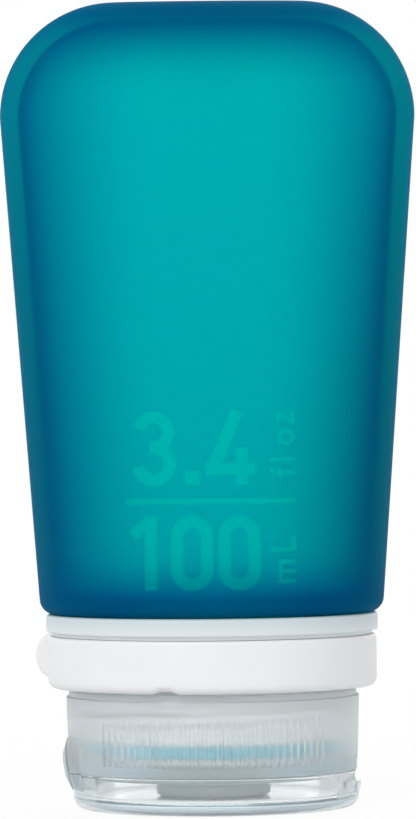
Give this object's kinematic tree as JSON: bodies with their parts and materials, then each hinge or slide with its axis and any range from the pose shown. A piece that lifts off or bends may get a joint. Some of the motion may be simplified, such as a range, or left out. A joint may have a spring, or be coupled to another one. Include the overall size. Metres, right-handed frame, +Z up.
{
  "type": "travel squeeze bottle",
  "caption": "Soft silicone squeeze bottle, flattened at its closed end, standing on a clear flip lid, with a ribbed screw cap, white collar and a swivelling hang ring.",
  "frame": {"origin": "on the surface the bottle stands on, at the centre of the box around it, on the neck's axis", "axes": "+Z up from the lid to the closed end, front faces -Y, lid hinge on -X, thumb lip on +X"},
  "size_m": [0.0598, 0.0485, 0.116],
  "materials": {
    "silicone": "frosted translucent",
    "collar_plastic": "satin",
    "ring_plastic": "satin",
    "cap_plastic": "frosted clear",
    "lid_plastic": "clear polished",
    "valve_silicone": "soft translucent",
    "seal_plastic": "soft satin"
  },
  "bodies": {
    "bottle": {"bottle_body": "silicone", "neck_collar": "collar_plastic"},
    "ring": {"hang_ring": "ring_plastic"},
    "seal": {"seal_washer": "seal_plastic"},
    "cap": {"screw_cap": "cap_plastic", "spout_valve": "valve_silicone", "valve_retainer": "seal_plastic", "lid_hinge": "lid_plastic"},
    "lid": {"flip_lid": "lid_plastic"}
  },
  "joints": [
    {"name": "ring_swivel", "type": "hinge", "parent": "bottle", "child": "ring", "pos_m": [0, 0, 0.02105], "axis": [0, 0, 1], "continuous": true},
    {"name": "cap_travel", "type": "slide", "parent": "bottle", "child": "seal", "axis": [0, 0, -1], "range_m": [0, 0.0046]},
    {"name": "cap_turn", "type": "hinge", "parent": "seal", "child": "cap", "pos_m": [0, 0, 0.0053], "axis": [0, 0, -1], "range_deg": [0, 450]},
    {"name": "lid_open", "type": "hinge", "parent": "cap", "child": "lid", "pos_m": [-0.02105, 0, 0.0053], "axis": [0, 1, 0], "range_deg": [0, 135], "deforming": ["lid_hinge"]}
  ],
  "couplings": [
    {"joint": "cap_travel", "follows": "cap_turn", "m_per_rad": 0.00057296}
  ]
}
